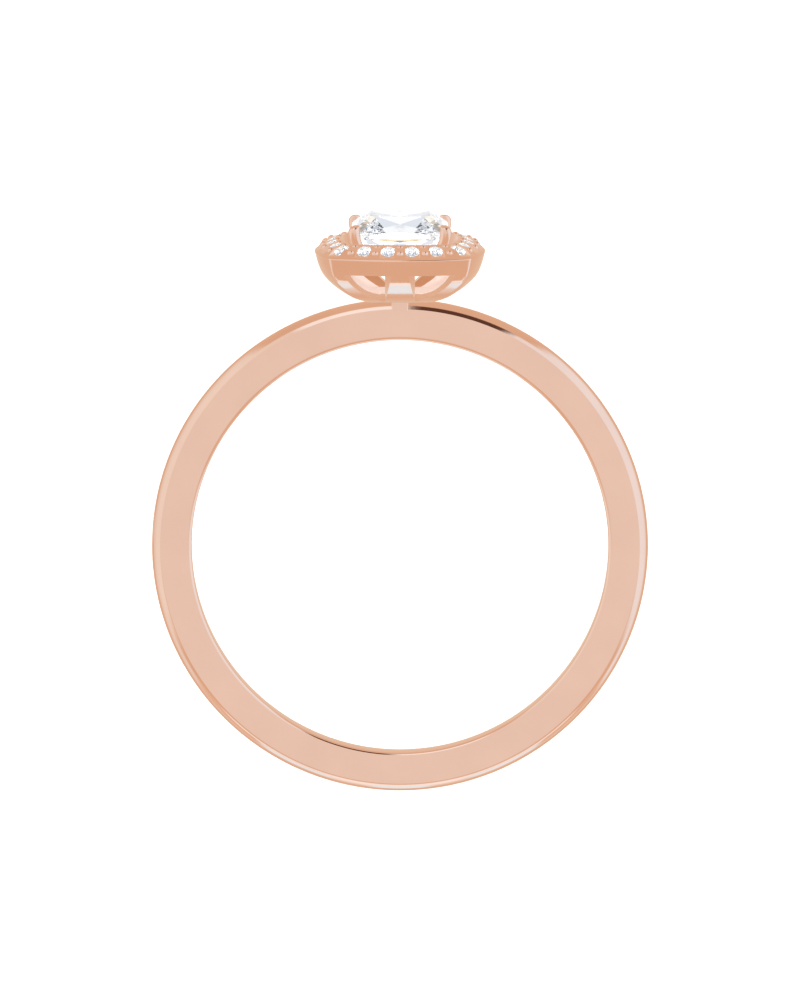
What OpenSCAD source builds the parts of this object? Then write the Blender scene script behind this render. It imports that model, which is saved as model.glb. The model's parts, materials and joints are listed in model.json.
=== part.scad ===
// Halo ring: a domed band, an open gallery bowl, a cushion-shaped halo of small round stones and a
// square centre stone in four claws. Millimetres. The ring lies on its side, as it rests by itself: on
// the far edge of its band and the back edge of its halo. The origin is the middle of its box's floor.

/* [Band] */
// Inside diameter of the finger hole
bore_d = 17.35; // [15:0.05:21]
// Width of the band along the finger
band_w = 1.3; // [1.1:0.05:2]
// Thickness of the band at its flat side faces
side_t = 1.305; // [1:0.05:2]
// How far the dome rises above the side faces
dome_rise = 0.36; // [0.2:0.02:0.5]
// Radius that softens the edges of the finger hole
bore_edge_r = 0.17; // [0.05:0.01:0.3]

/* [Gallery bowl] */
// Gap between the crown of the band and the bottom of the bowl
bowl_gap = 0.03; // [0.01:0.01:0.1]
// Height of the bowl, from its bottom to the widest edge of the halo
bowl_h = 2.01; // [1.6:0.05:3]
// Thickness of the bowl's shell
shell_t = 0.45; // [0.35:0.05:0.6]
// Height of the solid wall between the windows and the halo's edge
wall_h = 0.66; // [0.4:0.02:0.9]
// Level width of a corner arm in front, from the bowl's outline to the window
arm_w = 1.07; // [0.8:0.01:1.3]
// Level width of a corner arm at the back
back_arm_w = 1.9; // [0.8:0.05:2]
// Width of a middle post at the top of the windows
post_top_w = 0.72; // [0.4:0.02:1.2]
// Width of a middle post at the foot of the windows
post_foot_w = 1.24; // [0.8:0.02:1.6]
// Height of the front windows' lower tips above the bottom of the bowl
tip_h = 0.1; // [0.05:0.01:0.3]
// Height of the back windows' lower tips above the bottom of the bowl
back_tip_h = 0.3; // [0.05:0.05:0.4]
// Smallest width of a window at its lower tip
tip_w = 0.06; // [0.03:0.01:0.15]

/* [Foot] */
// Length of the saddle that joins the bowl to the band
saddle_l = 2.9; // [2:0.1:3.2]
// Width of the saddle across the band
saddle_w = 0.5; // [0.4:0.05:0.9]
// Width of the peg in the middle of each side
peg_w = 0.7; // [0.4:0.05:1]
// How far the peg stands out from the band's side faces
peg_proud = 0.05; // [0.02:0.01:0.15]
// How far the peg reaches below the crown of the band
peg_drop = 0.42; // [0.38:0.01:0.6]

/* [Halo frame] */
// Distance from the middle of the head to the stones' line, at the middle of a side
row_half = 2.885; // [2.7:0.005:3.6]
// Radius of the curve that each side of the stones' line follows
row_side_r = 6.5; // [5:0.05:8]
// How far the frame reaches outside the stones' line
frame_out = 0.665; // [0.6:0.005:0.9]
// How far the frame reaches inside the stones' line
frame_in = 0.48; // [0.44:0.01:0.6]
// How far the sloped shoulder starts outside the stones' line
shoulder_out = 0.27; // [0.2:0.01:0.5]
// Rise of the shoulder above the halo's widest edge
shoulder_h = 0.34; // [0.2:0.01:0.5]
// Rise of the inner rim above the halo's widest edge
rim_h = 0.52; // [0.4:0.01:0.7]
// Depth of the frame at its inner rim
frame_depth = 0.95; // [0.7:0.01:1.2]
// Rounding of the frame's corners
corner_r = 0.3; // [0.2:0.05:0.8]

/* [Halo stones] */
// Spaces between stones along one side, from corner to corner
side_steps = 5; // [4:1:6]
// Diameter of a small stone
small_d = 0.64; // [0.5:0.02:0.8]
// Outward lean of the small stones
small_lean = 30; // [15:1:35]
// Height of the small stones' girdles above the halo's widest edge
small_rise = 0.3; // [0.25:0.01:0.4]
// Width of the notch that shows each small stone
notch_w = 0.58; // [0.44:0.02:0.7]
// How far the notch's floor runs outside the stones' line
notch_out = 0.575; // [0.45:0.005:0.62]
// Drop of the notch's floor below the small stones' girdle centre at that place
notch_drop = 0.2; // [0.15:0.01:0.3]
// Diameter of the beads between the stones
bead_d = 0.32; // [0.2:0.01:0.34]
// Distance of each row of beads from the stones' line
bead_off = 0.295; // [0.2:0.005:0.35]
// How far a bead stands out of the frame
bead_proud = 0.07; // [0.02:0.01:0.1]

/* [Centre stone] */
// Width of the centre stone across its sides
centre_w = 4; // [3.4:0.05:4.4]
// Length cut off each side at a corner of the girdle
corner_cut = 0.36; // [0.2:0.01:0.6]
// Height of the girdle above the halo's widest edge
girdle_rise = 0.92; // [0.8:0.01:1.4]
// Thickness of the girdle
girdle_t = 0.05; // [0.02:0.01:0.1]
// Height of the crown above the girdle
crown_h = 0.6; // [0.4:0.01:0.8]
// Depth of the pavilion below the girdle
pavilion_h = 2.1; // [1.6:0.05:2.2]
// Width of the table across its sides
table_w = 2.5; // [2:0.02:3]

/* [Claws] */
// Diameter of a claw at the stone's girdle
claw_d = 0.5; // [0.4:0.01:0.7]
// Diameter of a claw's stem inside the frame
stem_d = 0.4; // [0.3:0.01:0.6]
// Distance of a claw's foot from the middle of the head, along each side
claw_foot = 1.72; // [1.6:0.01:2.2]
// Distance of a claw's axis outside the stone's cut corner at the girdle, along the diagonal
claw_out = 0.12; // [0.08:0.01:0.2]
// Height of a claw's top above the girdle
claw_over = 0.38; // [0.25:0.01:0.5]
// How far the tip leans in over the crown, along the diagonal
claw_hook = 0.16; // [0.05:0.01:0.25]

/* [Fits] */
// Gap between a stone and the metal round it
stone_gap = 0.02; // [0.01:0.005:0.04]

/* [Hidden] */
// Bowl outline: [share of the bowl's height, share of the frame's outer half-width]
BOWL = [
    [0.00, 0.410],
    [0.03, 0.470],
    [0.11, 0.594],
    [0.21, 0.696],
    [0.31, 0.777],
    [0.41, 0.843],
    [0.51, 0.895],
    [0.61, 0.930],
    [0.74, 0.960],
    [1.00, 1.000],
];
side_pts = 8;
corner_pts = 3;
claw_sides = 10;
window_pts = 7;
window_in = 1;
small_sides = 8;
bore_r = bore_d / 2;
side_r_out = bore_r + side_t;
crown_r = side_r_out + dome_rise;
dome_r = (pow(band_w / 2, 2) + pow(dome_rise, 2)) / (2 * dome_rise);
dome_c = crown_r - dome_r;
frame_half = row_half + frame_out;
frame_side_r = row_side_r + frame_out;
edge_z = bowl_gap + bowl_h;
rim_z = edge_z + rim_h;
shoulder_z = edge_z + shoulder_h;
frame_floor_z = rim_z - frame_depth;
window_top_z = edge_z - wall_h;
window_tip_z = bowl_gap + tip_h;
row_z = edge_z + small_rise;
girdle_z = edge_z + girdle_rise;
table_z = girdle_z + girdle_t + crown_h;
lay_tilt = atan((frame_half - band_w / 2) / (crown_r + edge_z + side_r_out));
lay_lift = side_r_out * sin(lay_tilt) + band_w / 2 * cos(lay_tilt);
far_y = dome_c * cos(lay_tilt) + dome_r;
near_y = (crown_r + table_z) * cos(lay_tilt) + table_w / 2 * sin(lay_tilt);
stone_count = 4 * side_steps;
rose_gold = [0.91, 0.74, 0.66];
diamond = [0.93, 0.95, 0.98];

function two_digits(i) = str(i < 10 ? "0" : "", i);
function small_name(i) = str("halo_stone_", two_digits(i + 1));

// A side of the cushion outline is an arc of radius r whose middle lies at half from the centre.
// These give the angle at which two such arcs meet on the diagonal, and the centre of their rounding.
function meet_angle(half, r) = 45 + asin((half - r) / (r * sqrt(2)));
function round_at(half, r, rc) = (half - r + sqrt(2 * pow(r - rc, 2) - pow(half - r, 2))) / 2;
function round_angle(half, r, rc) = atan2(round_at(half, r, rc), round_at(half, r, rc) - half + r);
function turned(p, k) = [p.x * cos(k) - p.y * sin(k), p.x * sin(k) + p.y * cos(k)];

// Cushion outline as a list of points, anticlockwise from the side at +X
function cushion(half, r, rc) =
    let (a = round_angle(half, r, rc), f = round_at(half, r, rc))
    [for (k = [0 : 3]) each concat(
        [for (i = [0 : side_pts]) let (t = a * (2 * i / side_pts - 1))
            turned([half - r + r * cos(t), r * sin(t)], 90 * k)],
        [for (i = [1 : corner_pts - 1]) let (t = a + (90 - 2 * a) * i / corner_pts)
            turned([f + rc * cos(t), f + rc * sin(t)], 90 * k)]
    )];

// Bowl outline at a height: the half-width from the table, and the table's slope as a normal
function bowl_half(z) = frame_half * lookup((z - bowl_gap) / bowl_h, BOWL);
function bowl_point(i) = [frame_half * BOWL[i][1], bowl_gap + bowl_h * BOWL[i][0]];
function bowl_slope(i) = bowl_point(min(i + 1, len(BOWL) - 1)) - bowl_point(max(i - 1, 0));
function bowl_normal(i) = let (s = bowl_slope(i)) [s.y, -s.x] / norm(s);
function inner_point(i) = bowl_point(i) - shell_t * bowl_normal(i);

// Rings of the head as [half-width, side radius, height], from the bottom outside to the floor inside
outer_rings = [for (i = [0 : len(BOWL) - 1]) [bowl_point(i).x, frame_side_r, bowl_point(i).y]];
top_rings = [
    [row_half + shoulder_out, row_side_r + shoulder_out, shoulder_z],
    [row_half - frame_in, row_side_r - frame_in, rim_z],
    [row_half - frame_in, row_side_r - frame_in, frame_floor_z],
    [bowl_half(frame_floor_z) - shell_t, frame_side_r - shell_t, frame_floor_z],
];
inner_rings = [
    for (i = [len(BOWL) - 2 : -1 : 1])
        if (inner_point(i).y < frame_floor_z - shell_t / 5)
            [inner_point(i).x, frame_side_r - shell_t, inner_point(i).y]
];
head_rings = concat(outer_rings, top_rings, inner_rings);

module lofted(rings) {
    loops = [for (g = rings) [for (p = cushion(g.x, g.y, corner_r)) [p.x, p.y, g.z]]];
    n = len(loops[0]);
    last = len(loops) - 1;
    polyhedron(
        points = [for (loop = loops) each loop],
        faces = concat(
            [[for (i = [0 : n - 1]) i]],
            [for (k = [0 : last - 1], i = [0 : n - 1])
                [k * n + i, (k + 1) * n + i, (k + 1) * n + (i + 1) % n, k * n + (i + 1) % n]],
            [[for (i = [n - 1 : -1 : 0]) last * n + i]]
        )
    );
}

// One window at the right of the middle post, as [x, z] on the bowl's own surface. The arm's side is cut
// straight in. The post is a trapezium outside and as wide as its foot at the shell's inside.
function post_half(z) =
    let (t = (z - window_tip_z) / (window_top_z - window_tip_z))
    (post_foot_w + (post_top_w - post_foot_w) * t) / 2;
function arm_edge(z, arm) = max(bowl_half(z) - arm, post_half(z) + tip_w);
function bowl_depth(x, z) = bowl_half(z) - frame_side_r + sqrt(pow(frame_side_r, 2) - x * x);
function window_level(tip, i) = bowl_gap + tip + (window_top_z - bowl_gap - tip) * i / window_pts;
function post_cut(z, y) =
    let (half = post_half(z), inwards = bowl_depth(half, z) - y)
    half + (post_foot_w / 2 - half) * inwards / shell_t;
function window_loop(arm, tip, y) = concat(
    [for (i = [0 : window_pts]) let (z = window_level(tip, i)) [arm_edge(z, arm), y, z]],
    [for (i = [window_pts : -1 : 0]) let (z = window_level(tip, i)) [post_cut(z, y), y, z]]
);

module window(arm, tip) {
    loops = [for (y = [frame_half + shell_t, window_in]) window_loop(arm, tip, y)];
    n = len(loops[0]);
    polyhedron(
        points = concat(loops[0], loops[1]),
        faces = concat(
            [[for (i = [0 : n - 1]) i]],
            [for (i = [0 : n - 1]) each [[(i + 1) % n, i, n + i], [(i + 1) % n, n + i, n + (i + 1) % n]]],
            [[for (i = [2 * n - 1 : -1 : n]) i]]
        )
    );
}

module windows() {
    for (side = [0, 1]) mirror([side, 0, 0]) {
        window(back_arm_w, back_tip_h);
        rotate([0, 0, 180]) window(arm_w, tip_h);
    }
}

// Places on the stones' line, counted in steps from the corner before the side at +X
function row_angle(s) = meet_angle(row_half, row_side_r) * (2 * s / side_steps - 1);
module on_row(s) {
    side = floor(s / side_steps);
    a = row_angle(s - side * side_steps);
    at_corner = abs(s - side * side_steps) < 0.01;
    place = [row_half - row_side_r + row_side_r * cos(a), row_side_r * sin(a), row_z];
    rotate([0, 0, 90 * side]) translate(place) rotate([0, 0, at_corner ? -45 : a]) children();
}

// Small stone: half profile as [radius, height] with room round it, for the seats
module small_seat() {
    r = small_d / 2 + stone_gap;
    rotate([0, small_lean, 0]) rotate_extrude($fn = 32)
        polygon([
            [0, -small_d * 0.43 - 2 * stone_gap],
            [r, -stone_gap],
            [r, small_d * 0.03 + stone_gap],
            [small_d * 0.28 + stone_gap, small_d * 0.17 + stone_gap],
            [0, small_d * 0.17 + stone_gap],
        ]);
}

module notch() {
    back = small_d / 2 * cos(small_lean) + stone_gap;
    front = small_d / 2 * cos(small_lean);
    far = frame_out + small_d / 2;
    fall = tan(small_lean);
    floor_fall = (notch_drop - front * fall) / (notch_out - front);
    translate([0, notch_w / 2, 0]) rotate([90, 0, 0]) linear_extrude(notch_w)
        polygon([
            [-back, back * fall],
            [front, -front * fall],
            [far, -notch_drop - floor_fall * (far - notch_out)],
            [far, small_d],
            [-back, small_d],
        ]);
}

function frame_top(o) =
    shoulder_z - row_z + (rim_z - shoulder_z) * (shoulder_out - o) / (shoulder_out + frame_in);

module beads() {
    for (s = [0 : stone_count - 1], o = [-bead_off, bead_off])
        on_row(s + 0.5)
            translate([o, 0, frame_top(o) + bead_proud - bead_d / 2]) sphere(d = bead_d, $fn = 16);
}

// Claw: rings along its path, each as [distance from the middle along a side, height, radius]
claw_r = claw_d / 2;
corner_at = (centre_w - corner_cut) / 2;
claw_at = corner_at + claw_out / sqrt(2);
claw_top_z = girdle_z + claw_over;
claw_tip_at = claw_at - claw_hook / sqrt(2);
CLAW = [
    [claw_foot, frame_floor_z + stem_d / 4, stem_d / 2],
    [claw_foot, rim_z - stem_d / 2, stem_d / 2],
    [claw_at, girdle_z, claw_r],
    [claw_at, claw_top_z - claw_r * 0.8, claw_r * 0.98],
    [(claw_at + claw_tip_at) / 2, claw_top_z - claw_r * 0.35, claw_r * 0.82],
    [claw_tip_at, claw_top_z, claw_r * 0.4],
];

module claw() {
    n = claw_sides;
    last = len(CLAW) - 1;
    loops = [for (g = CLAW) [for (i = [0 : n - 1])
        [g.x + g.z * cos(360 * i / n), g.x + g.z * sin(360 * i / n), g.y]]];
    polyhedron(
        points = [for (loop = loops) each loop],
        faces = concat(
            [[for (i = [0 : n - 1]) i]],
            [for (k = [0 : last - 1], i = [0 : n - 1])
                [k * n + i, (k + 1) * n + i, (k + 1) * n + (i + 1) % n, k * n + (i + 1) % n]],
            [[for (i = [n - 1 : -1 : 0]) last * n + i]]
        )
    );
    // A web joins the stem to the frame's inner corner, below the rim
    opening_corner = round_at(row_half - frame_in, row_side_r - frame_in, corner_r) * sqrt(2) + corner_r;
    rotate([0, 0, 45]) translate([claw_foot * sqrt(2), -stem_d * 0.4, frame_floor_z + stem_d / 4])
        cube([opening_corner + frame_in / 3 - claw_foot * sqrt(2), stem_d * 0.8, frame_depth - stem_d]);
}

// Square stone with cut corners. Each loop has two points at a corner, so eight in all.
function square_loop(half, cut, z) = [for (k = [0 : 3]) each [
    concat(turned([half, -half + cut], 90 * k), [z]),
    concat(turned([half, half - cut], 90 * k), [z]),
]];
function side_points(at, z) = [for (k = [0 : 3]) concat(turned([at, 0], 90 * k), [z])];
function corner_points(at, z) = [for (k = [0 : 3]) concat(turned([at, at], 90 * k), [z])];

module square_stone(grow) {
    half = centre_w / 2 + grow;
    table = table_w / 2 + grow / 2;
    top = girdle_z + girdle_t;
    points = concat(
        square_loop(table, corner_cut * 0.8, table_z + grow),
        side_points((half + table) / 2 + crown_h * 0.08, top + crown_h * 0.55 + grow / 2),
        square_loop(half, corner_cut, top + grow / 2),
        square_loop(half, corner_cut, girdle_z - grow / 2),
        side_points(half * 0.62, girdle_z - pavilion_h * 0.46 - grow),
        corner_points(half * 0.36, girdle_z - pavilion_h * 0.62 - grow),
        [[0, 0, girdle_z - pavilion_h - 2 * grow]]
    );
    // Where each loop of points starts in the list
    crown = 8;
    upper = 12;
    lower = 20;
    ridge = 28;
    keel = 32;
    culet = 36;
    faces = concat(
        [[7, 6, 5, 4, 3, 2, 1, 0]],
        [for (k = [0 : 3]) let (a = 2 * k, b = 2 * k + 1, c = (2 * k + 2) % 8) each [
            [a, b, crown + k],
            [a, crown + k, upper + a],
            [crown + k, b, upper + b],
            [upper + a, crown + k, upper + b],
            [b, c, upper + c, upper + b],
            [upper + a, upper + b, lower + b, lower + a],
            [upper + b, upper + c, lower + c, lower + b],
            [lower + a, lower + b, ridge + k],
            [lower + b, lower + c, keel + k],
            [ridge + k, lower + b, keel + k],
            [lower + c, ridge + (k + 1) % 4, keel + k],
            [ridge + k, keel + k, culet],
            [keel + k, ridge + (k + 1) % 4, culet],
        ]]
    );
    polyhedron(points = points, faces = faces);
}

// Small round stone: a table of small_sides corners, a girdle with twice as many, and a pointed back
module round_stone() {
    n = small_sides;
    girdle = small_d / 2;
    table = small_d * 0.28;
    top = small_d * 0.17;
    upper = small_d * 0.03;
    points = concat(
        [for (i = [0 : n - 1]) [table * cos(360 * (i + 0.5) / n), table * sin(360 * (i + 0.5) / n), top]],
        [for (z = [upper, 0], i = [0 : 2 * n - 1])
            [girdle * cos(180 * i / n), girdle * sin(180 * i / n), z]],
        [[0, 0, -small_d * 0.43]]
    );
    faces = concat(
        [[for (i = [n - 1 : -1 : 0]) i]],
        [for (i = [0 : n - 1]) let (j = (i + 1) % n, g = n + 2 * i, m = n + 2 * i + 1, h = n + 2 * j) each [
            [i, h, m],
            [i, m, g],
            [i, j, h],
        ]],
        [for (i = [0 : 2 * n - 1]) let (j = (i + 1) % (2 * n)) each [
            [n + i, n + j, 3 * n + j, 3 * n + i],
            [3 * n + i, 3 * n + j, 5 * n],
        ]]
    );
    polyhedron(points = points, faces = faces);
}

// Band as a revolved outline: a dome outside, flat sides and softened edges at the finger hole
module band() {
    half = band_w / 2;
    rotate_extrude($fn = 180) {
        intersection() {
            translate([dome_c, 0]) circle(dome_r, $fn = 96);
            translate([dome_c, -half]) square([dome_r + 1, band_w]);
        }
        translate([bore_r + bore_edge_r, -half]) square([dome_c - bore_r - bore_edge_r, band_w]);
        translate([bore_r, -half + bore_edge_r]) square([bore_edge_r, band_w - 2 * bore_edge_r]);
        for (s = [-1, 1])
            translate([bore_r + bore_edge_r, s * (half - bore_edge_r)]) circle(bore_edge_r, $fn = 32);
    }
}

// Saddle and peg that join the bowl's bottom to the band, in the head's frame
module foot() {
    rise = bowl_gap + tip_h + shell_t / 3;
    translate([-saddle_l / 2, -saddle_w / 2, -peg_drop]) cube([saddle_l, saddle_w, peg_drop + rise]);
    translate([-peg_w / 2, -band_w / 2 - peg_proud, -peg_drop])
        cube([peg_w, band_w + 2 * peg_proud, peg_drop + rise]);
}

// Puts the head's frame, whose Z is away from the finger, on top of the band
module on_band() {
    translate([0, crown_r, 0]) rotate([-90, 0, 0]) children();
}

// Lays the ring down on its side, with the middle of its box's floor at the origin
module laid() {
    translate([0, (far_y - near_y) / 2, lay_lift]) rotate([lay_tilt, 0, 0]) children();
}

module head_metal() {
    difference() {
        lofted(head_rings);
        windows();
        for (s = [0 : stone_count - 1]) on_row(s) {
            notch();
            small_seat();
        }
    }
    beads();
    difference() {
        for (k = [0 : 3]) rotate([0, 0, 90 * k]) claw();
        square_stone(stone_gap);
    }
}

module ring_mount() {
    color(rose_gold) laid() {
        band();
        on_band() {
            foot();
            head_metal();
        }
    }
}

module centre_stone() {
    color(diamond) laid() on_band() square_stone(0);
}

module halo_stone(i) {
    color(diamond) laid() on_band() on_row(i) rotate([0, small_lean, 0]) round_stone();
}

ring_mount();
centre_stone();
for (i = [0 : stone_count - 1])
    halo_stone(i);
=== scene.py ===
"""Looks of a halo ring in rose gold and diamond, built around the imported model.

Sizes are in millimetres until laid() turns them into metres. A ring point is (x, h, d): x to the side,
h from the middle of the finger hole towards the head, d along the finger towards the photograph's viewer.
Heights in the head are given as z above the crown of the band, as in the part's own source.
"""
import json

import bmesh
import bpy
import numpy as np
from mathutils import Matrix, Vector

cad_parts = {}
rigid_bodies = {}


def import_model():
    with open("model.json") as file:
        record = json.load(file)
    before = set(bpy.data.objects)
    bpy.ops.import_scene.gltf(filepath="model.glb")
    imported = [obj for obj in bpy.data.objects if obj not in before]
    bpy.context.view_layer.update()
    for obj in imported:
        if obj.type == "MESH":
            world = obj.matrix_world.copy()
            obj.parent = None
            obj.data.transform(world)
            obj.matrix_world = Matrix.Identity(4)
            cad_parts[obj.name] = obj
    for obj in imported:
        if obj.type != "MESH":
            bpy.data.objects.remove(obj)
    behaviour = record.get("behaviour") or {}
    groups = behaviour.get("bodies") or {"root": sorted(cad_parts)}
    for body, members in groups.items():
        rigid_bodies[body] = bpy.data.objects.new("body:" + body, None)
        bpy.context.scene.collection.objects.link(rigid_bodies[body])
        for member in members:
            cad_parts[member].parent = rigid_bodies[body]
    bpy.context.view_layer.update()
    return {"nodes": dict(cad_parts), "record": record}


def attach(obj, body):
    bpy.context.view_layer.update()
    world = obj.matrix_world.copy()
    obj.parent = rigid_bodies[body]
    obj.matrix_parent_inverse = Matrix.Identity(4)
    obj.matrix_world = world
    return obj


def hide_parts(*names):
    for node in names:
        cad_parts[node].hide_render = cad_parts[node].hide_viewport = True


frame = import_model()

MM = 0.001

# The ring's axes in the row's frame, read from the finger hole's mount
BORE = frame["record"]["mounts"][0]
MIDDLE = np.array(BORE["pos_m"])
FINGER = np.array(BORE["axis"]) / np.linalg.norm(BORE["axis"])
SIDE = np.array([1.0, 0.0, 0.0])
HEAD = np.cross(FINGER, SIDE)

# Band
BORE_R = 8.675
BAND_W = 1.3
SIDE_FACE_R = 9.98
CROWN_R = 10.34
BORE_EDGE_R = 0.17

# Gallery bowl, with the outline as [share of the height, share of the frame's half-width]
BOWL_BOTTOM = 0.03
BOWL_H = 2.01
BOWL = np.array([
    [0.00, 0.410], [0.03, 0.470], [0.11, 0.594], [0.21, 0.696], [0.31, 0.777],
    [0.41, 0.843], [0.51, 0.895], [0.61, 0.930], [0.74, 0.960], [1.00, 1.000],
])
SHELL_T = 0.45
WINDOW_TOP = BOWL_BOTTOM + BOWL_H - 0.66
WINDOW_TIP = BOWL_BOTTOM + 0.1
BACK_TIP = BOWL_BOTTOM + 0.3
ARM_W = 1.07
BACK_ARM_W = 1.9
POST_TOP = 0.72
POST_FOOT = 1.24
TIP_W = 0.06

# Halo frame and its stones' line
ROW_HALF = 2.885
ROW_SIDE_R = 6.5
FRAME_OUT = 0.665
FRAME_IN = 0.48
SHOULDER_OUT = 0.27
SHOULDER_H = 0.34
RIM_H = 0.52
FRAME_DEPTH = 0.95
CORNER_R = 0.3
EDGE_Z = BOWL_BOTTOM + BOWL_H
STEPS = 5
SMALL_D = 0.64
SMALL_LEAN = np.radians(30)
SMALL_RISE = 0.3
NOTCH_W = 0.58
NOTCH_OUT = 0.575
NOTCH_DROP = 0.2
BEAD_D = 0.32
BEAD_OFF = 0.295
BEAD_PROUD = 0.07

# Centre stone and claws
CENTRE_W = 4.0
CORNER_CUT = 0.36
GIRDLE_Z = EDGE_Z + 0.92
GIRDLE_T = 0.05
CROWN_H = 0.6
PAVILION_H = 2.1
TABLE_W = 2.5
TABLE_CUT = CORNER_CUT * 0.8
CLAW_D = 0.5
STEM_D = 0.4
CLAW_FOOT = 1.72
CLAW_OUT = 0.12
CLAW_OVER = 0.38
CLAW_HOOK = 0.16
STONE_GAP = 0.02

# Foot, as [height, half-width to the side, half-width along the finger]
FOOT = np.array([
    [-0.42, 0.35, 0.70], [-0.2, 0.35, 0.70], [-0.02, 0.355, 0.70], [0.05, 0.42, 0.69],
    [0.1, 0.52, 0.66], [0.28, 0.6, 0.6],
])
FOOT_SQUARENESS = 0.16

# Faces round the band, and along its dome, a rounding and a flat side
BAND_STEPS = 288
DOME_STEPS = 32
ROUND_STEPS = 8
FLAT_STEPS = 6

# Faces up the gallery: the closed bottom, and up to the front windows' tips, the back windows' tips, the
# windows' tops and the halo
RISE_STEPS = (5, 3, 5, 24, 8)

# Faces along each half of a gallery side that has windows, from its middle out
POST_STEPS = 4
WINDOW_STEPS = 14
ARM_STEPS = 8
# Faces inside each back arm, out from its window, darkened with painted shade
PAINTED_SHADE_STEPS = 6
WINDOW_OFF = POST_STEPS + WINDOW_STEPS
SIDE_MIDDLE = WINDOW_OFF + ARM_STEPS

# Faces along a gallery side without windows, and round a corner
PLAIN_STEPS = 40
CORNER_STEPS = 6

# Faces across a notch of the frame and between two, along and round a claw, and round the foot
NOTCH_STEPS = 12
BETWEEN_STEPS = 4
CLAW_STEPS = 59
CLAW_SIDES = 32
FOOT_SIDES = 48


def laid(x, h, d):
    """Row points of ring points: the hole's middle plus each amount along its own axis."""
    x, h, d = np.broadcast_arrays(x, h, d)
    return MIDDLE + MM * (x[..., None] * SIDE + h[..., None] * HEAD + d[..., None] * FINGER)


def grid_faces(rows, cols, close_rows=False, close_cols=False):
    """Quads between neighbours of a rows by cols grid, joined end to start where asked."""
    r = np.arange(rows if close_rows else rows - 1)[:, None]
    c = np.arange(cols if close_cols else cols - 1)[None, :]
    r_next = (r + 1) % rows
    c_next = (c + 1) % cols
    quads = np.stack(np.broadcast_arrays(
        r * cols + c, r * cols + c_next, r_next * cols + c_next, r_next * cols + c), axis=-1)
    return quads.reshape(-1, 4)


def full_turn(sides):
    """Angles of a whole turn in even steps, without the end that repeats its start."""
    return np.linspace(0, 2 * np.pi, sides + 1)[:-1]


def metal_piece(name, points, faces, material, bevel=0.0, crease=35.0, face_material=None, others=()):
    """A closed metal piece from points and quads: doubles merged, faces outwards, edges softened.

    finish gives each face the material 0, or 1, 2 and so on of the others.
    """
    mesh = bpy.data.meshes.new(name)
    mesh.from_pydata(points.reshape(-1, 3).tolist(), [], faces.tolist())
    if face_material is not None:
        mesh.polygons.foreach_set("material_index", np.asarray(face_material, np.int32))
    work = bmesh.new()
    work.from_mesh(mesh)
    bmesh.ops.remove_doubles(work, verts=work.verts, dist=2e-7)
    bmesh.ops.dissolve_degenerate(work, edges=work.edges, dist=1e-7)
    bmesh.ops.recalc_face_normals(work, faces=work.faces)
    work.to_mesh(mesh)
    work.free()
    mesh.shade_smooth()
    mesh.set_sharp_from_angle(angle=np.radians(crease))
    piece = bpy.data.objects.new(name, mesh)
    bpy.context.scene.collection.objects.link(piece)
    if bevel:
        soften = piece.modifiers.new("soft edges", "BEVEL")
        soften.width = bevel * MM
        soften.segments = 3
        soften.limit_method = "ANGLE"
        soften.angle_limit = np.radians(crease)
        soften.harden_normals = True
    mesh.materials.append(material)
    for other in others:
        mesh.materials.append(other)
    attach(piece, "root")
    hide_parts("ring_mount")
    return piece


# Materials: the metal's clouds of colour and the depth of its polishing marks, in millimetres
CLOUD = 2.2
MARK_DEPTH = 0.004


def linear(code):
    """Linear colour of an sRGB hex code."""
    srgb = np.array([int(code[i:i + 2], 16) / 255 for i in (1, 3, 5)])
    low = srgb / 12.92
    high = ((srgb + 0.055) / 1.055) ** 2.4
    return (*np.where(srgb <= 0.04045, low, high).tolist(), 1.0)


def add(tree, kind, settings=None, links=None):
    """One node of a kind, with its sockets or properties set and its inputs linked."""
    node = tree.nodes.new(kind)
    for key, value in (settings or {}).items():
        if isinstance(key, int) or key in node.inputs:
            node.inputs[key].default_value = value
        else:
            setattr(node, key, value)
    for key, source in (links or {}).items():
        tree.links.new(source, node.inputs[key])
    return node


def new_material(name):
    """A material with an empty tree of nodes."""
    material = bpy.data.materials.new(name)
    material.use_nodes = True
    tree = material.node_tree
    tree.nodes.clear()
    return material, tree


def ramp(tree, source, stops):
    """Colour ramp with sRGB or grey stops as (place, colour)."""
    node = add(tree, "ShaderNodeValToRGB", links={"Fac": source})
    marks = node.color_ramp.elements
    while len(marks) < len(stops):
        marks.new(0.5)
    for mark, (place, colour) in zip(marks, stops):
        mark.position = place
        mark.color = linear(colour) if isinstance(colour, str) else (colour, colour, colour, 1.0)
    return node


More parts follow.
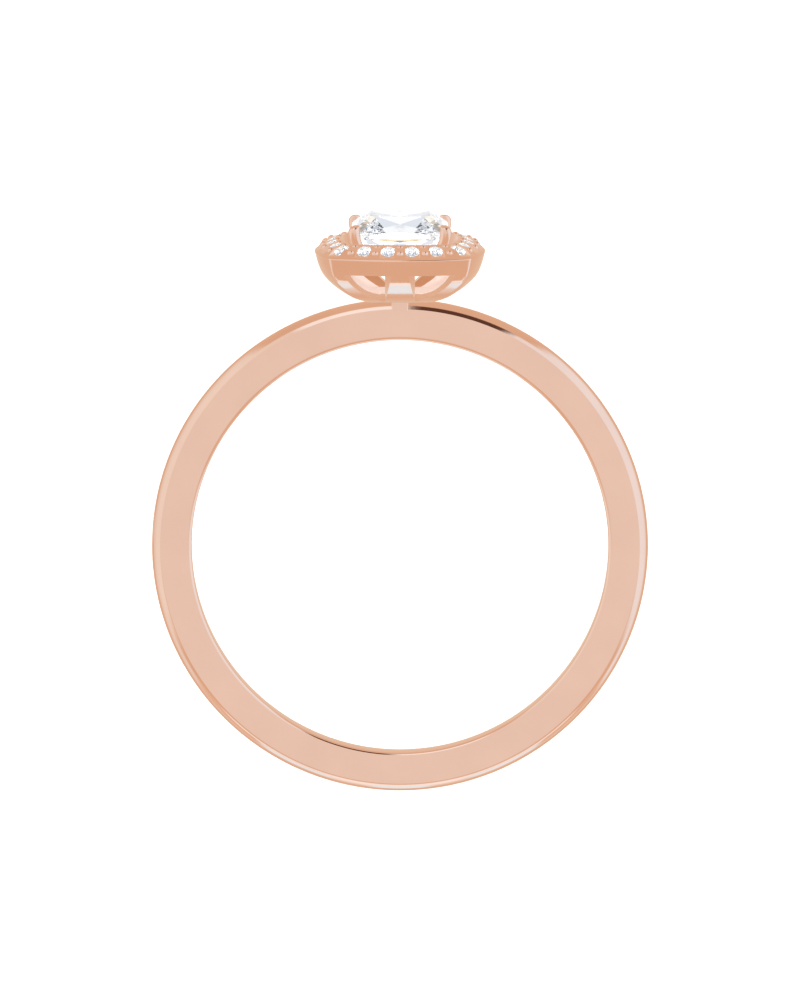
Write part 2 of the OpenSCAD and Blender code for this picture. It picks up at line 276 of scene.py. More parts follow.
def rose_gold(name, light, deep, smooth, rough, grain_mm, relief, metallic=1.0):
    """Rose gold, a copper-rich gold alloy: colour drifts a little, polish varies, and fine marks stay.

    Cloudy noise runs the colour from deep to light, and finer noise of a grain's size runs the roughness
    from smooth to rough and lifts the surface.
    """
    material, tree = new_material(name)
    place = add(tree, "ShaderNodeTexCoord")
    cloud = add(tree, "ShaderNodeTexNoise", {"Scale": 1 / (CLOUD * MM), "Detail": 3.0},
                {"Vector": place.outputs["Object"]})
    colour = ramp(tree, cloud.outputs["Fac"], [(0.3, deep), (0.7, light)])
    grain = add(tree, "ShaderNodeTexNoise", {"Scale": 1 / (grain_mm * MM), "Detail": 4.0},
                {"Vector": place.outputs["Object"]})
    polish = ramp(tree, grain.outputs["Fac"], [(0.3, smooth), (0.75, rough)])
    bump = add(tree, "ShaderNodeBump", {"Strength": relief, "Distance": MARK_DEPTH * MM},
               {"Height": grain.outputs["Fac"]})
    shader = add(tree, "ShaderNodeBsdfPrincipled", {"Metallic": metallic}, {
        "Base Color": colour.outputs["Color"],
        "Roughness": polish.outputs["Color"],
        "Normal": bump.outputs["Normal"],
    })
    add(tree, "ShaderNodeOutputMaterial", links={"Surface": shader.outputs["BSDF"]})
    return material


def diamond(name, tint):
    """Diamond, polished flat: clear, very high index, so facets flash white and dark.

    The metal's own reflections, which are never quite sharp, pass through it. The tint is what each face
    of the stone lets through.
    """
    material, tree = new_material(name)
    shader = add(tree, "ShaderNodeBsdfPrincipled", {
        "Base Color": tint, "Roughness": 0.0, "IOR": 2.417, "Transmission Weight": 1.0,
    })
    path = add(tree, "ShaderNodeLightPath")
    blurred = add(tree, "ShaderNodeMath", {"operation": "SUBTRACT", "use_clamp": True},
                  {0: path.outputs["Is Glossy Ray"], 1: path.outputs["Is Singular Ray"]})
    clear = add(tree, "ShaderNodeBsdfTransparent")
    mix = add(tree, "ShaderNodeMixShader", links={
        0: blurred.outputs[0], 1: shader.outputs["BSDF"], 2: clear.outputs[0],
    })
    add(tree, "ShaderNodeOutputMaterial", links={"Surface": mix.outputs[0]})
    return material


# Buffed on a wheel, so the band mirrors the studio's cards almost sharply
POLISHED = rose_gold("polished rose gold", "#F0CAB6", "#ECC6B2", 0.05, 0.10, 0.12, 0.15)
# Cast and then tumbled, so edges between light and dark are a little softer than on the band
CAST = rose_gold("cast rose gold of the gallery", "#F0CAB6", "#ECC6B2", 0.08, 0.14, 0.08, 0.3)
# Out of a polisher's reach, so satin; its near-white colour and half-metallic skin are painted light, a
# pale, even glow with no reflection to read
PAINTED_PALE_SATIN = rose_gold("satin rose gold inside the gallery with painted pale glow", "#FBEAE4", "#F8E2DA", 0.45, 0.55, 0.06, 0.2,
                  metallic=0.35)
# The same satin with painted shade, deeper and redder, where the back arms face away from the light
PAINTED_SHADE_SATIN = rose_gold("satin rose gold of the gallery's back arms", "#E4B292", "#DCA684", 0.35, 0.45,
                       0.06, 0.2)
# Trimmed with a hard graver round the stones: small faces that each catch one tone
BRIGHT_CUT = rose_gold("bright-cut rose gold of the setting", "#F0CAB6", "#ECC6B2", 0.08, 0.14, 0.05, 0.3)
# Colourless and clean, all flashes of white and grey
DIAMOND = diamond("polished diamond", (1.0, 1.0, 1.0, 1.0))
# The same stone in small, cut with less care, so each holds a little light back
SMALL_DIAMOND = diamond("polished small round diamonds", (0.84, 0.86, 0.88, 1.0))


# Band


def band_outline():
    """Half-moon outline (r, d), anticlockwise, in lines and arcs.

    Its dome is an arc through both side faces' outer edges and the crown. Then come a flat side, a quarter
    round, the hole, a quarter round and the other flat side.
    """
    half = BAND_W / 2
    rise = CROWN_R - SIDE_FACE_R
    dome_r = (half ** 2 + rise ** 2) / (2 * rise)
    reach = np.arcsin(half / dome_r)
    t = np.linspace(-reach, reach, DOME_STEPS + 1)
    dome = np.stack([CROWN_R - dome_r + dome_r * np.cos(t), dome_r * np.sin(t)], axis=1)
    turn = np.linspace(0, np.pi / 2, ROUND_STEPS + 1)
    inner = BORE_R + BORE_EDGE_R
    near = np.stack([inner - BORE_EDGE_R * np.sin(turn),
                     half - BORE_EDGE_R + BORE_EDGE_R * np.cos(turn)], axis=1)
    flat = np.linspace(SIDE_FACE_R, inner, FLAT_STEPS + 1)[1:-1]
    near_flat = np.stack([flat, np.full_like(flat, half)], axis=1)
    far = near[::-1] * [1, -1]
    far_flat = near_flat[::-1] * [1, -1]
    return np.concatenate([dome, near_flat, near, far, far_flat])


def make_band():
    """The outline turned round the finger's axis."""
    outline = band_outline()
    turn = full_turn(BAND_STEPS)[:, None]
    r = outline[None, :, 0]
    points = laid(r * np.sin(turn), r * np.cos(turn), outline[None, :, 1])
    faces = grid_faces(len(turn), len(outline), close_rows=True, close_cols=True)
    return metal_piece("band", points, faces, POLISHED, bevel=0.02, crease=25)


# Cushion outlines: four arcs of one radius that meet near the diagonals in a small rounding


def corner_round(half, side_r):
    """Place of a corner rounding's centre along both axes, and the angle where a side's arc ends."""
    at = (half - side_r + np.sqrt(2 * (side_r - CORNER_R) ** 2 - (half - side_r) ** 2)) / 2
    return at, np.arctan2(at, at - half + side_r)


def quarter_turns(out, along):
    """Sides 0 to 3 of an outline from (out, along) of one side: (x, d) turned by quarter turns."""
    return [(out, along), (-along, out), (-out, -along), (along, -out)]


def smooth_lookup(z, table):
    """Smooth curve through a table: cubic between points, with slopes from the neighbours."""
    at, value = table[:, 0], table[:, 1]
    slope = np.gradient(value, at)
    i = np.clip(np.searchsorted(at, z) - 1, 0, len(at) - 2)
    step = at[i + 1] - at[i]
    t = np.clip((z - at[i]) / step, 0, 1)
    return ((2 * t ** 3 - 3 * t ** 2 + 1) * value[i] + (t ** 3 - 2 * t ** 2 + t) * step * slope[i]
            + (3 * t ** 2 - 2 * t ** 3) * value[i + 1] + (t ** 3 - t ** 2) * step * slope[i + 1])


# Gallery bowl


def cushion_half(height):
    """Half-width of the bowl at a height, from the bowl's table of shares."""
    share = np.clip((height - BOWL_BOTTOM) / BOWL_H, 0, 1)
    return (ROW_HALF + FRAME_OUT) * smooth_lookup(share, BOWL)


def window_edges(z, arm_w):
    """Half-width of the middle post, and place of the arm's edge, at a height.

    The post narrows evenly from its foot to its top. The arm's edge lies an arm's width inside the bowl's
    half-width, and at least a tip's width outside the post.
    """
    share = np.clip((z - WINDOW_TIP) / (WINDOW_TOP - WINDOW_TIP), 0, 1)
    post = (POST_FOOT + (POST_TOP - POST_FOOT) * share) / 2
    wide = cushion_half(np.clip(z, WINDOW_TIP, WINDOW_TOP))
    return post, np.maximum(wide - arm_w, post + TIP_W)


def gallery_rows():
    """Heights of the bowl's rows, each row's share of the width there, and the rows that bound the windows.

    The closed bottom comes first, then even steps up to the front windows' tips, up to the back windows',
    up to all windows' tops and up to the halo.
    """
    cap_steps, below_steps, low_steps, window_steps, above_steps = RISE_STEPS
    cap = np.linspace(0, 1, cap_steps + 1)[:-1]
    below = np.linspace(BOWL_BOTTOM, WINDOW_TIP, below_steps + 1)[:-1]
    low = np.linspace(WINDOW_TIP, BACK_TIP, low_steps + 1)[:-1]
    within = BACK_TIP + (WINDOW_TOP - BACK_TIP) * np.linspace(0, 1, window_steps + 1)
    above = np.linspace(WINDOW_TOP, EDGE_Z, above_steps + 1)[1:]
    z = np.concatenate([np.full(len(cap), BOWL_BOTTOM), below, low, within, above])[:, None]
    scale = np.concatenate([cap, np.ones(len(z) - len(cap))])[:, None]
    front_row = len(cap) + len(below)
    back_row = front_row + len(low)
    return z, scale, front_row, back_row, back_row + len(within) - 1


def along_windows(post, arm, last):
    """Places along a side with windows: even steps over post, window and arm, mirrored."""
    parts = [post * np.linspace(0, 1, POST_STEPS + 1)[None, :],
             post + (arm - post) * np.linspace(0, 1, WINDOW_STEPS + 1)[None, 1:],
             arm + (last - arm) * np.linspace(0, 1, ARM_STEPS + 1)[None, 1:]]
    right = np.concatenate(parts, axis=1)
    return np.concatenate([-right[:, :0:-1], right], axis=1)


def bowl_wall(half, side_r, places):
    """Points (x, d) of a wall's rows: on each side its arc at the side's places, then a corner rounding."""
    at, end = corner_round(half, side_r)
    turn = end + (np.pi / 2 - 2 * end) * np.linspace(0, 1, CORNER_STEPS + 1)[None, 1:-1]
    bend = quarter_turns(at + CORNER_R * np.cos(turn), at + CORNER_R * np.sin(turn))
    x, d = [], []
    for k, across in enumerate(places):
        side = quarter_turns(half - side_r + np.sqrt(side_r ** 2 - across ** 2), across)[k]
        x += [side[0], bend[k][0]]
        d += [side[1], bend[k][1]]
    return np.concatenate(x, axis=1), np.concatenate(d, axis=1)


def windowed_faces(rows, cols, windows, last_row):
    """Quads of one wall without its windows, and quads that join it to a second wall of the same grid.

    The joining ones run round the last row and round each window, given as its first and last column and
    its lowest row.
    """
    index = np.arange(rows * cols).reshape(rows, cols)
    row = np.arange(rows - 1)[:, None]
    col = np.arange(cols)[None, :]
    open_cells = np.zeros((rows - 1, cols), bool)
    loops = []
    for a, b, first in windows:
        open_cells |= (row >= first) & (row < last_row) & (col >= a) & (col < b)
        loops.append(np.concatenate([
            index[first, a:b], index[first:last_row, b],
            index[last_row, a + 1:b + 1][::-1], index[first + 1:last_row + 1, a][::-1]]))
    kept = grid_faces(rows, cols, close_cols=True)[~open_cells.ravel()]
    count = rows * cols
    top = index[-1]
    joins = [np.stack([top, np.roll(top, -1), np.roll(top, -1) + count, top + count], axis=1)]
    for loop in loops:
        after = np.roll(loop, -1)
        joins.append(np.stack([loop, after, after + count, loop + count], axis=1))
    return kept, np.concatenate(joins)


def make_gallery():
    """Bowl with two windows in front and two smaller ones at the back.

    Rows climb the cushion-shaped bowl, and columns go round it. In front and at the back the columns
    follow the windows' edges as these move with height. The inner wall is the outer one drawn towards the
    middle of the halo's rim, down to the bowl's own floor, and at each window's edges it keeps the outer
    wall's places, with the post as wide as its foot. Flat cuts join both walls round each window.
    """
    z, scale, front_row, back_row, last_row = gallery_rows()

    # The inner wall's floor is flat, so the rows below it close in to three quarters of its width
    rim = EDGE_Z + RIM_H
    draw = 1 - SHELL_T / (ROW_HALF + FRAME_OUT)
    inner_floor = rim + (BOWL_BOTTOM - rim) * draw
    inner_z = np.maximum(z, inner_floor)
    closing = 0.75 + 0.25 * (z - BOWL_BOTTOM) / (inner_floor - BOWL_BOTTOM)
    shrink = np.where(z < inner_floor, closing, 1) * scale

    half = cushion_half(z)
    inner_half = cushion_half(rim + (inner_z - rim) / draw) * draw
    side_r = ROW_SIDE_R + FRAME_OUT
    inner_r = side_r * draw
    outer_end = side_r * np.sin(corner_round(half, side_r)[1])
    inner_end = inner_r * np.sin(corner_round(inner_half, inner_r)[1])

    # Side 1 faces the photograph's viewer and side 3 is the back
    plain = np.linspace(-1, 1, PLAIN_STEPS + 1)[None, :]
    outer_places, inner_places, windows = [], [], []
    width = 0
    for k in range(4):
        if k % 2:
            post, arm = window_edges(z, ARM_W if k == 1 else BACK_ARM_W)
            keep = np.minimum(arm, inner_end * 0.92)
            outer_places.append(along_windows(post, arm, outer_end))
            inner_places.append(along_windows(np.minimum(POST_FOOT / 2, keep - TIP_W / 2), keep, inner_end))
            first = front_row if k == 1 else back_row
            middle = width + SIDE_MIDDLE
            windows += [(middle - WINDOW_OFF, middle - POST_STEPS, first),
                        (middle + POST_STEPS, middle + WINDOW_OFF, first)]
        else:
            outer_places.append(outer_end * plain)
            inner_places.append(inner_end * plain)
        width += outer_places[-1].shape[1] + CORNER_STEPS - 1
    x, d = bowl_wall(half, side_r, outer_places)
    x_in, d_in = bowl_wall(inner_half, inner_r, inner_places)
    points = np.concatenate([laid(x * scale, CROWN_R + z + 0 * x, d * scale),
                             laid(x_in * shrink, CROWN_R + inner_z + 0 * x, d_in * shrink)])
    kept, joins = windowed_faces(*x.shape, windows, last_row)
    faces = np.concatenate([kept, kept[:, ::-1] + x.size, joins])

    # The inner faces are satin with a painted pale glow, and painted shade darkens them on the back arms
    # beside their windows
    row, column = np.divmod(kept[:, 0], width)
    off_window = np.abs(column + 0.5 - middle) - WINDOW_OFF
    painted_shade = (off_window > 0) & (off_window < PAINTED_SHADE_STEPS) & (row >= back_row)
    face_material = np.concatenate([np.zeros(len(kept), int), np.where(painted_shade, 2, 1), np.zeros(len(joins), int)])
    return metal_piece("gallery", points, faces, CAST, bevel=0.025, crease=38, face_material=face_material,
                       others=(PAINTED_PALE_SATIN, PAINTED_SHADE_SATIN))


# Halo frame


def row_meet(offset):
    """Angle at which the arcs of the stones' line, moved out by an offset, meet on the diagonal."""
    side_r = ROW_SIDE_R + offset
    return np.pi / 4 + np.arcsin((ROW_HALF - ROW_SIDE_R) / (side_r * np.sqrt(2)))


def deck_height(offset):
    """Height of the frame's top above its widest edge, by the offset from the stones' line."""
    return np.interp(offset, [-FRAME_IN, SHOULDER_OUT, FRAME_OUT], [RIM_H, SHOULDER_H, 0])


def notch_height(offset, across):
    """Notch floor: flat along the stone's own lean, then gently down, with a cone sunk under the stone."""
    front = SMALL_D / 2 * np.cos(SMALL_LEAN)
    floor = np.interp(offset, [-front * 2, front, NOTCH_OUT], [
        SMALL_RISE + 2 * front * np.tan(SMALL_LEAN), SMALL_RISE - front * np.tan(SMALL_LEAN),
        SMALL_RISE - NOTCH_DROP])
    seat_r = SMALL_D / 2 + STONE_GAP
    away = np.hypot(offset / np.cos(SMALL_LEAN), across) / seat_r
    return floor - np.clip(1 - away, 0, 1) * SMALL_D * 0.5


def frame_columns(r):
    """Angles of a frame side's columns on arcs of radius r, and their places across the notch they are in.

    A notch's columns keep to its parallel sides, with half a notch at each end of the side for the stones
    on the diagonals. Even steps between notches have no place across one.
    """
    centre = ROW_HALF - ROW_SIDE_R
    across = np.linspace(-NOTCH_W / 2, NOTCH_W / 2, NOTCH_STEPS + 1)[None, :]
    half_corner = np.linspace(0, NOTCH_W / 2, NOTCH_STEPS // 2 + 1)[None, :]
    between = np.linspace(0, 1, BETWEEN_STEPS + 1)[None, :]
    stone_angle = row_meet(0) * (2 * np.arange(1, STEPS) / STEPS - 1)

    def corner_turn(v):
        """Angle on a side's arc of the point at distance v from the diagonal before that side."""
        return -np.pi / 4 - np.arcsin((centre - v * np.sqrt(2)) / (r * np.sqrt(2)))

    turns = [corner_turn(half_corner), *[angle + np.arcsin(across / r) for angle in stone_angle],
             -corner_turn(half_corner[:, ::-1])]
    offs = [half_corner, *[across] * len(stone_angle), -half_corner[:, ::-1]]
    t_cols, v_cols = [turns[0]], [offs[0]]
    for before, turn, off in zip(turns, turns[1:], offs[1:]):
        a, b = before[:, -1:], turn[:, :1]
        t_cols += [a + (b - a) * between, turn]
        v_cols += [np.full_like(between, np.nan), off]
    return np.concatenate(t_cols, axis=1), np.concatenate(v_cols, axis=1)


def make_frame():
    """Cushion-shaped frame: a closed profile of offsets and heights carried along the stones' line.

    Columns keep to the parallel sides of each notch, where two columns share a place and differ in height,
    so that a notch has upright walls. Each corner has a notch on the diagonal.
    """
    # Offsets of the top's rows, closer where the seats' cones are. The wall behind a seat has two rows.
    back = SMALL_D / 2 * np.cos(SMALL_LEAN) + STONE_GAP
    deck = np.array([-FRAME_IN, -0.42, -0.36, -back, -back, -0.24, -0.18, -0.12, -0.06, 0, 0.06, 0.12, 0.18,
                     0.23, SHOULDER_OUT, 0.277, 0.34, 0.4, 0.46, 0.52, NOTCH_OUT, 0.62,
                     FRAME_OUT - 0.035])
    wall_row = int(np.argmax(deck == -back))
    cut_row = np.arange(len(deck)) > wall_row
    # Offset and height of the rest, from the thin outer edge under the frame and up its inside
    base = RIM_H - FRAME_DEPTH
    under = np.array([
        [FRAME_OUT - 0.018, 0.018], [FRAME_OUT - 0.006, 0.004], [FRAME_OUT - 0.001, -0.012],
        [FRAME_OUT - 0.001, -0.03], [FRAME_OUT - 0.03, -0.05], [FRAME_OUT - 0.3, base],
        [0.1, base], [-0.2, base], [-FRAME_IN, base], [-FRAME_IN, -0.1], [-FRAME_IN, 0.2],
    ])
    offset = np.concatenate([deck, under[:, 0]])[:, None]
    r = ROW_SIDE_R + offset
    t, v = frame_columns(r)
    out = ROW_HALF - ROW_SIDE_R + r * np.cos(t)
    along = r * np.sin(t)

    # The small rounding on the diagonals replaces the arcs' meeting point
    at, end = corner_round(ROW_HALF + offset, r)
    lateral = (out - np.abs(along)) / np.sqrt(2)
    reach = CORNER_R * np.sin(np.pi / 4 - end)
    lean = np.arcsin(np.clip(lateral / CORNER_R, -1, 1))
    near = lateral < reach
    out = np.where(near, at + CORNER_R * np.cos(np.pi / 4 - lean), out)
    along = np.where(near, np.sign(along) * (at + CORNER_R * np.sin(np.pi / 4 - lean)), along)

    height = np.concatenate([deck_height(deck), under[:, 1]])[:, None] + 0 * t
    in_notch = ~np.isnan(v)
    floor = notch_height(deck[:, None], np.nan_to_num(v))
    cut = np.minimum(height[:len(deck)], floor)
    height[:len(deck)] = np.where(in_notch & cut_row[:, None], cut, height[:len(deck)])
    height[wall_row] = np.where(in_notch[0], deck_height(-back), height[wall_row])

    x, d = [np.concatenate(part, axis=1) for part in zip(*quarter_turns(out, along))]
    height = np.tile(height, 4)
    points = laid(x, CROWN_R + EDGE_Z + height, d)
    faces = grid_faces(*height.shape, close_rows=True, close_cols=True)
    return metal_piece("halo_frame", points, faces, BRIGHT_CUT, bevel=0.012, crease=28)


def row_place(step, offset):
    """Point (x, d) at a count of steps round the stones' line, moved out by an offset."""
    side = np.floor(step / STEPS).astype(int)
    angle = row_meet(0) * (2 * (step - side * STEPS) / STEPS - 1)
    out = ROW_HALF - ROW_SIDE_R + (ROW_SIDE_R + offset) * np.cos(angle)
    along = (ROW_SIDE_R + offset) * np.sin(angle)
    turn = side * np.pi / 2
    return out * np.cos(turn) - along * np.sin(turn), out * np.sin(turn) + along * np.cos(turn)


def make_beads():
    """Balls between the stones, outside and inside their line: circles stacked from pole to pole."""
    step = np.repeat(np.arange(4 * STEPS) + 0.5, 2)
    offset = np.tile([-BEAD_OFF, BEAD_OFF], 4 * STEPS)
    x, d = row_place(step, offset)
    z = EDGE_Z + deck_height(offset) + BEAD_PROUD - BEAD_D / 2
    rings, sides = 13, 20
    up = np.linspace(0, np.pi, rings)[None, :, None]
    turn = full_turn(sides)[None, None, :]
    r = BEAD_D / 2
    points = laid(x[:, None, None] + r * np.sin(up) * np.cos(turn),
                  CROWN_R + z[:, None, None] + r * np.cos(up) + 0 * turn,
                  d[:, None, None] + r * np.sin(up) * np.sin(turn))
    one = grid_faces(rings, sides, close_cols=True)
    faces = np.concatenate([one + rings * sides * i for i in range(len(step))])
    return metal_piece("beads", points, faces, BRIGHT_CUT, crease=80)


# Claws


def stone_reach(z):
    """How far the centre stone's cut corner reaches along the diagonal at a height.

    Straight lines join the girdle's corner to the table's above it, and to the point that keeps 38% of the
    reach at 62% of the pavilion's depth below it.
    """
    corner = (CENTRE_W - CORNER_CUT) / 2 * np.sqrt(2)
    table = (TABLE_W - TABLE_CUT) / 2 * np.sqrt(2)
    heights = [GIRDLE_Z - PAVILION_H * 0.62, GIRDLE_Z, GIRDLE_Z + GIRDLE_T, GIRDLE_Z + GIRDLE_T + CROWN_H]
    return np.interp(z, heights, [corner * 0.38, corner, corner, table])


def make_claws():
    """Four claws: circles carried up a bent path, flat where they meet the stone, with a small hook."""
    foot = CLAW_FOOT * np.sqrt(2)
    corner = (CENTRE_W - CORNER_CUT) / 2 * np.sqrt(2)
    axis = corner + CLAW_OUT
    top = GIRDLE_Z + CLAW_OVER
    floor = EDGE_Z + RIM_H - FRAME_DEPTH
    r = CLAW_D / 2
    # Distance from the head's axis along the diagonal, height and radius
    path = np.array([
        [foot, floor + 0.1, STEM_D / 2], [foot + 0.08, EDGE_Z + 0.1, STEM_D / 2 * 1.15],
        [foot + 0.1, EDGE_Z + RIM_H - 0.1, r], [axis - 0.05, GIRDLE_Z - 0.2, r * 0.97],
        [axis, GIRDLE_Z + 0.08, r * 0.97], [axis - 0.01, top - r * 0.85, r * 0.92],
        [axis - 0.05, top - r * 0.45, r * 0.8], [axis - 0.11, top - r * 0.2, r * 0.58],
        [axis - CLAW_HOOK - 0.02, top - r * 0.12, r * 0.34], [axis - CLAW_HOOK - 0.07, top - r * 0.16, 0.0],
    ])
    t = np.linspace(0, len(path) - 1, CLAW_STEPS + 1)
    knots = np.arange(len(path))
    # A pole closes the foot, as the radius of nothing closes the tip
    at, z, radius = [smooth_lookup(t, np.stack([knots, path[:, i]], axis=1)) for i in range(3)]
    radius = np.maximum(radius, 0)
    at = np.concatenate([at[:1], at])
    z = np.concatenate([z[:1], z])
    radius = np.concatenate([[0], radius])
    turn = full_turn(CLAW_SIDES)[None, :]
    out = at[:, None] + radius[:, None] * np.cos(turn)
    across = radius[:, None] * np.sin(turn)
    z = np.broadcast_to(z[:, None], out.shape)
    out = np.maximum(out, np.where(z > GIRDLE_Z - 1.0, stone_reach(z) + STONE_GAP, 0))
    points = []
    for k in range(4):
        angle = np.pi / 4 + k * np.pi / 2
        points.append(laid(out * np.cos(angle) - across * np.sin(angle), CROWN_R + z,
                           out * np.sin(angle) + across * np.cos(angle)))
    one = grid_faces(*out.shape, close_cols=True)
    faces = np.concatenate([one + out.size * k for k in range(4)])
    return metal_piece("claws", np.stack(points), faces, BRIGHT_CUT, crease=50)


# Foot


def make_foot():
    """Peg under the bowl: oblong rings, wider at the top where it flares into the bowl.

    A ring's point is the half-width times the sine or cosine of its turn to a small power, with its sign
    kept, which is almost a rectangle with rounded corners.
    """
    turn = full_turn(FOOT_SIDES)[None, :]
    x = FOOT[:, 1:2] * np.sign(np.cos(turn)) * np.abs(np.cos(turn)) ** FOOT_SQUARENESS
    d = FOOT[:, 2:3] * np.sign(np.sin(turn)) * np.abs(np.sin(turn)) ** FOOT_SQUARENESS
    z = FOOT[:, :1] + 0 * turn
    # One more ring at each end, drawn into a point, closes it
    x, d = [np.concatenate([v[:1] * 0, v, v[-1:] * 0]) for v in (x, d)]
    z = np.concatenate([z[:1], z, z[-1:]])
    points = laid(x, CROWN_R + z, d)
    faces = grid_faces(*x.shape, close_cols=True)
    return metal_piece("foot", points, faces, CAST, bevel=0.02, crease=38)


make_band()
make_gallery()
make_frame()
make_beads()
make_claws()
make_foot()

for node_name, node in frame["nodes"].items():
    if "stone" in node_name:
        node.data.materials.clear()
        node.data.materials.append(SMALL_DIAMOND if "halo" in node_name else DIAMOND)

# Floor and light


def make_floor(span):
    """A square sheet of uncoated card under the ring, an even white. Its half-width is in metres."""
    corners = [(-span, -span, 0), (span, -span, 0), (span, span, 0), (-span, span, 0)]
    mesh = bpy.data.meshes.new("floor")
    mesh.from_pydata(corners, [], [(0, 1, 2, 3)])
    floor = bpy.data.objects.new("floor", mesh)
    bpy.context.scene.collection.objects.link(floor)
    material, tree = new_material("matt white card")
    paper = add(tree, "ShaderNodeBsdfPrincipled", {"Base Color": linear("#FCFCFC"), "Roughness": 0.9})
    add(tree, "ShaderNodeOutputMaterial", links={"Surface": paper.outputs["BSDF"]})
    mesh.materials.append(material)


# Light of the studio's cards on the metal
METAL_CEILING = (0.935, 0.922, 0.906)
COOL = (1.0, 1.16, 1.32)
WHITE = (1.0, 1.05, 1.05)
TAN = (0.84, 0.64, 0.49)
LIGHT_TAN = (0.9, 0.72, 0.57)
PALE = (1.15, 1.30, 1.41)
CREAM = (1.12, 1.17, 1.18)
POST_WHITE = (0.96, 1.34, 1.65)
WING_WHITE = (0.98, 1.3, 1.55)
DARK = (0.12, 0.06, 0.04)

# Each card's azimuths, elevations and softness in degrees, and its light. Later cards hide earlier ones.
CARDS = [
    ((-60, 60), (-25, 48), 30, COOL),
    ((130, 230), (-15, 35), 25, WHITE),
    ((50, 130), (-40, 13), 8, TAN),
    ((-150, -30), (-5, 60), 16, TAN),
    ((-180, 180), (-90, -34), 14, TAN),
    ((-130, -50), (-14, 4), 6, PALE),
    ((-108, -72), (-21, -13), 6, CREAM),
    ((-75, -40), (-26, -4), 6, LIGHT_TAN),
    ((-140, -105), (-26, -4), 6, LIGHT_TAN),
    ((-96, -84), (-34, -10), 4, POST_WHITE),
    ((-76, -59), (-25, -5), 4, WING_WHITE),
    ((-121, -104), (-25, -5), 4, WING_WHITE),
    ((89, 120), (15, 45), 6, PALE),
    ((58, 87), (11, 46), 6, DARK),
]

# Light and cards round the stones, given in the same way
STONE_CEILING = (1.06, 1.06, 1.07)
SILVER = (0.76, 0.8, 0.87)
MIST = (0.68, 0.74, 0.82)
CLOUD_GREY = (0.6, 0.65, 0.74)
GREY = (0.5, 0.56, 0.66)
SLATE = (0.15, 0.2, 0.3)
HONEY = (1.0, 0.68, 0.26)
STONE_CARDS = [
    ((40, 140), (-6, 20), 10, GREY),
    ((-50, -15), (-78, -62), 8, SILVER),
    ((-165, -130), (-78, -62), 8, SILVER),
    ((50, 130), (22, 52), 10, CLOUD_GREY),
    ((55, 125), (54, 72), 5, HONEY),
    ((60, 120), (-40, -20), 5, HONEY),
    ((-130, -112), (-38, -22), 6, MIST),
    ((-68, -50), (-38, -22), 6, MIST),
    ((20, 50), (10, 50), 10, SLATE),
    ((130, 160), (10, 50), 10, SLATE),
    ((-70, -40), (10, 50), 10, SLATE),
    ((-140, -110), (10, 50), 10, SLATE),
]


def card(tree, angles, behind, azimuth, elevation, soft, light):
    """A studio card in front of what is behind it, between two azimuths and two elevations.

    How far a direction is from the card's middle, wrapped round the circle, fades the card in over its
    softness at each edge, and the fades of both angles are multiplied.
    """
    fades = []
    for angle, (low, high) in zip(angles, (azimuth, elevation)):
        half = (high - low) / 2
        off = add(tree, "ShaderNodeMath", {"operation": "SUBTRACT", 1: np.radians((low + high) / 2)},
                  {0: angle})
        wrapped = add(tree, "ShaderNodeMath", {"operation": "WRAP", 1: np.pi, 2: -np.pi},
                      {0: off.outputs[0]})
        away = add(tree, "ShaderNodeMath", {"operation": "ABSOLUTE"}, {0: wrapped.outputs[0]})
        fade = add(tree, "ShaderNodeMapRange", {
            "interpolation_type": "SMOOTHSTEP", "From Min": np.radians(half + soft / 2),
            "From Max": np.radians(half - soft / 2)}, {"Value": away.outputs[0]})
        fades.append(fade.outputs["Result"])
    window = add(tree, "ShaderNodeMath", {"operation": "MULTIPLY"}, {0: fades[0], 1: fades[1]})
    mix = add(tree, "ShaderNodeMix", {"data_type": "RGBA", 7: (*light, 1.0)},
              {0: window.outputs[0], 6: behind})
    return mix.outputs[2]


def tent(tree, angles, light, cards):
    """What is seen in each direction: an even light with the cards in front of it, one after another."""
    ceiling = add(tree, "ShaderNodeRGB")
    ceiling.outputs[0].default_value = (*light, 1.0)
    colour = ceiling.outputs[0]
    for place in cards:
        colour = card(tree, angles, colour, *place)
    return colour


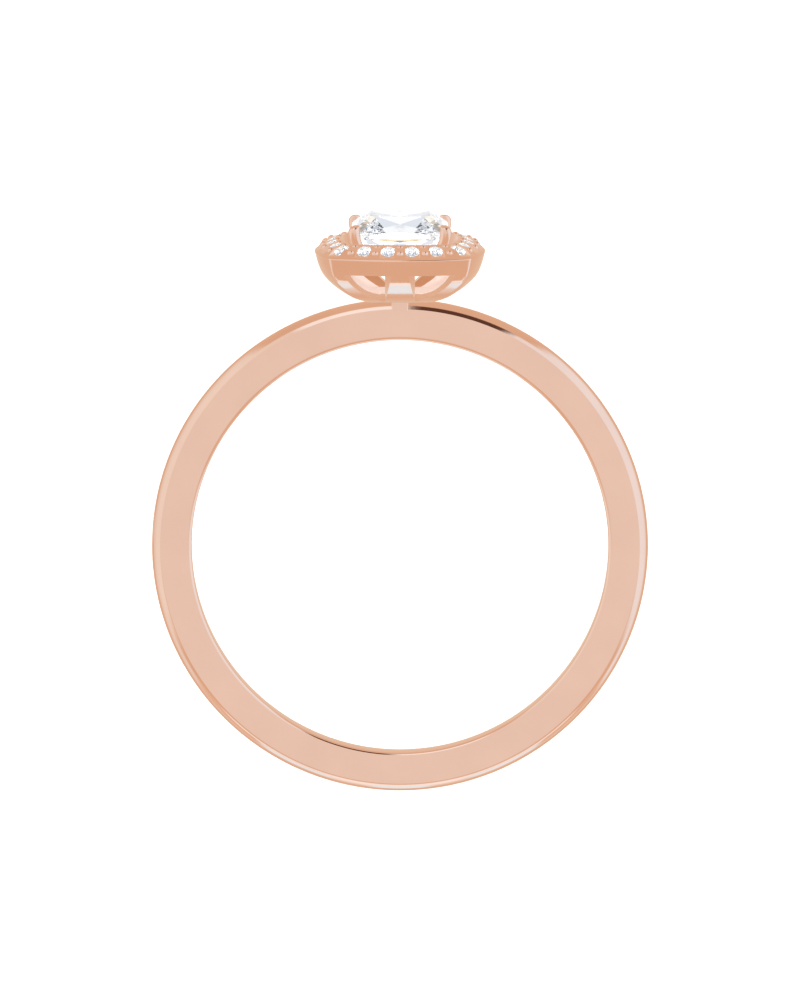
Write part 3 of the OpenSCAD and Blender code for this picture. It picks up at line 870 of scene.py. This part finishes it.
def studio():
    """Cards all round the ring, with azimuths from +X towards +Y and elevations above the floor.

    Mirror-sharp rays, which only the stones send out, see the stones' cards, and all others the metal's.
    """
    world = bpy.data.worlds.new("studio")
    world.use_nodes = True
    bpy.context.scene.world = world
    tree = world.node_tree
    tree.nodes.clear()
    place = add(tree, "ShaderNodeTexCoord")
    split = add(tree, "ShaderNodeSeparateXYZ", links={"Vector": place.outputs["Generated"]})
    azimuth = add(tree, "ShaderNodeMath", {"operation": "ARCTAN2"},
                  {0: split.outputs["Y"], 1: split.outputs["X"]})
    elevation = add(tree, "ShaderNodeMath", {"operation": "ARCSINE"}, {0: split.outputs["Z"]})
    angles = (azimuth.outputs[0], elevation.outputs[0])
    metal_sees = tent(tree, angles, METAL_CEILING, CARDS)
    stones_see = tent(tree, angles, STONE_CEILING, STONE_CARDS)
    path = add(tree, "ShaderNodeLightPath")
    mix = add(tree, "ShaderNodeMix", {"data_type": "RGBA"},
              {0: path.outputs["Is Singular Ray"], 6: metal_sees, 7: stones_see})
    glow = add(tree, "ShaderNodeBackground", {"Strength": 1.0}, {"Color": mix.outputs[2]})
    add(tree, "ShaderNodeOutputWorld", links={"Surface": glow.outputs["Background"]})


def make_overhead():
    """A square lamp above the ring, which lights the card and shows in nothing. Sizes are in metres."""
    light = bpy.data.lights.new("overhead", "AREA")
    light.shape = "SQUARE"
    light.size = 0.5
    light.energy = 4.0
    lamp = bpy.data.objects.new("overhead", light)
    lamp.location = (0, 0, 0.6)
    lamp.visible_glossy = False
    bpy.context.scene.collection.objects.link(lamp)


make_floor(0.5)
studio()
bpy.context.scene.view_settings.view_transform = "Standard"

# Light bounces many times between a diamond's facets before it leaves
bpy.context.scene.cycles.max_bounces = 24
bpy.context.scene.cycles.glossy_bounces = 20
bpy.context.scene.cycles.transmission_bounces = 20

make_overhead()

# As in the photograph, nothing casts a shadow, metal mirrors the studio alone, and no stone tints the card
for ob in bpy.context.scene.objects:
    if ob.type == "MESH" and "stone" not in ob.name:
        ob.visible_glossy = False
        ob.visible_transmission = False
    if "stone" in ob.name:
        ob.visible_diffuse = False
    ob.visible_shadow = False

# Camera: a long lens over the ring, with the photograph's scale and height, and its tilt in degrees
PX_PER_MM = 24.0
FRAME_H = 1000
RING_ROW = 545.1
DISTANCE = 800.0
TILT = 8
SENSOR = 36.0


def make_camera():
    """Camera tilted from the finger's axis towards the head, over the picture's middle row."""
    tilt = np.radians(TILT)
    towards = FINGER * np.cos(tilt) + HEAD * np.sin(tilt)
    upwards = HEAD * np.cos(tilt) - FINGER * np.sin(tilt)
    target = MIDDLE + upwards * (RING_ROW - FRAME_H / 2) / PX_PER_MM * MM
    lens = bpy.data.cameras.new("camera")
    lens.sensor_width = SENSOR
    lens.lens = SENSOR * DISTANCE / (FRAME_H / PX_PER_MM)
    lens.clip_start = 0.01
    lens.clip_end = 10.0
    camera = bpy.data.objects.new("camera", lens)
    bpy.context.scene.collection.objects.link(camera)
    turned = Matrix((SIDE, upwards, towards)).transposed().to_4x4()
    camera.matrix_world = Matrix.Translation(Vector(target + towards * DISTANCE * MM)) @ turned
    bpy.context.scene.camera = camera


make_camera()
